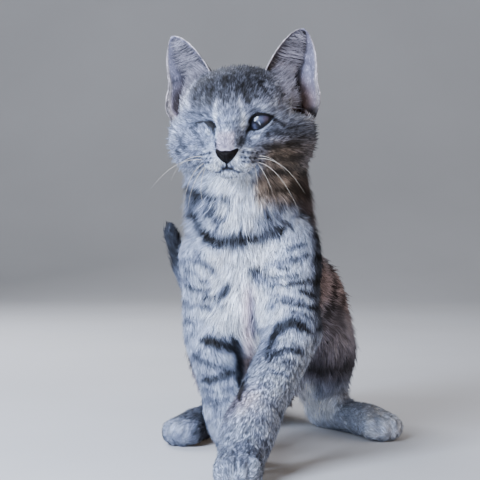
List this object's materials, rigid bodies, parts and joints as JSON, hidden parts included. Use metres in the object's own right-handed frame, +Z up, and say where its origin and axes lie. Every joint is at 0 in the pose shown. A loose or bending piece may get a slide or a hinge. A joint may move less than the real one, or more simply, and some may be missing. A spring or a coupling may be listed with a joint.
{
  "type": "cat",
  "caption": "Sitting tabby kitten, one forepaw set down ahead of the other, one eye open and one closed, tail raised behind; a still figure at life size.",
  "frame": {"origin": "middle of the footprint's bounding box, on the floor", "axes": "+Z up; the kitten faces -Y, and its own left side is towards +X"},
  "size_m": [0.1454, 0.2892, 0.2354],
  "materials": {
    "face_coat": "matte",
    "nose_leather": "satin",
    "eye": "gloss",
    "ear_coat": "matte",
    "body_coat": "matte",
    "leg_coat": "matte",
    "tail_coat": "matte"
  },
  "bodies": {
    "root": {"head": "face_coat", "nose": "nose_leather", "eye_left": "eye", "ear_left": "ear_coat", "ear_right": "ear_coat", "neck": "body_coat", "trunk": "body_coat", "tail": "tail_coat", "foreleg_left": "leg_coat", "foreleg_right": "leg_coat", "forepaw_left": "leg_coat", "forepaw_right": "leg_coat", "haunch_left": "body_coat", "haunch_right": "body_coat", "hindpaw_left": "leg_coat", "hindpaw_right": "leg_coat"}
  },
  "joints": []
}
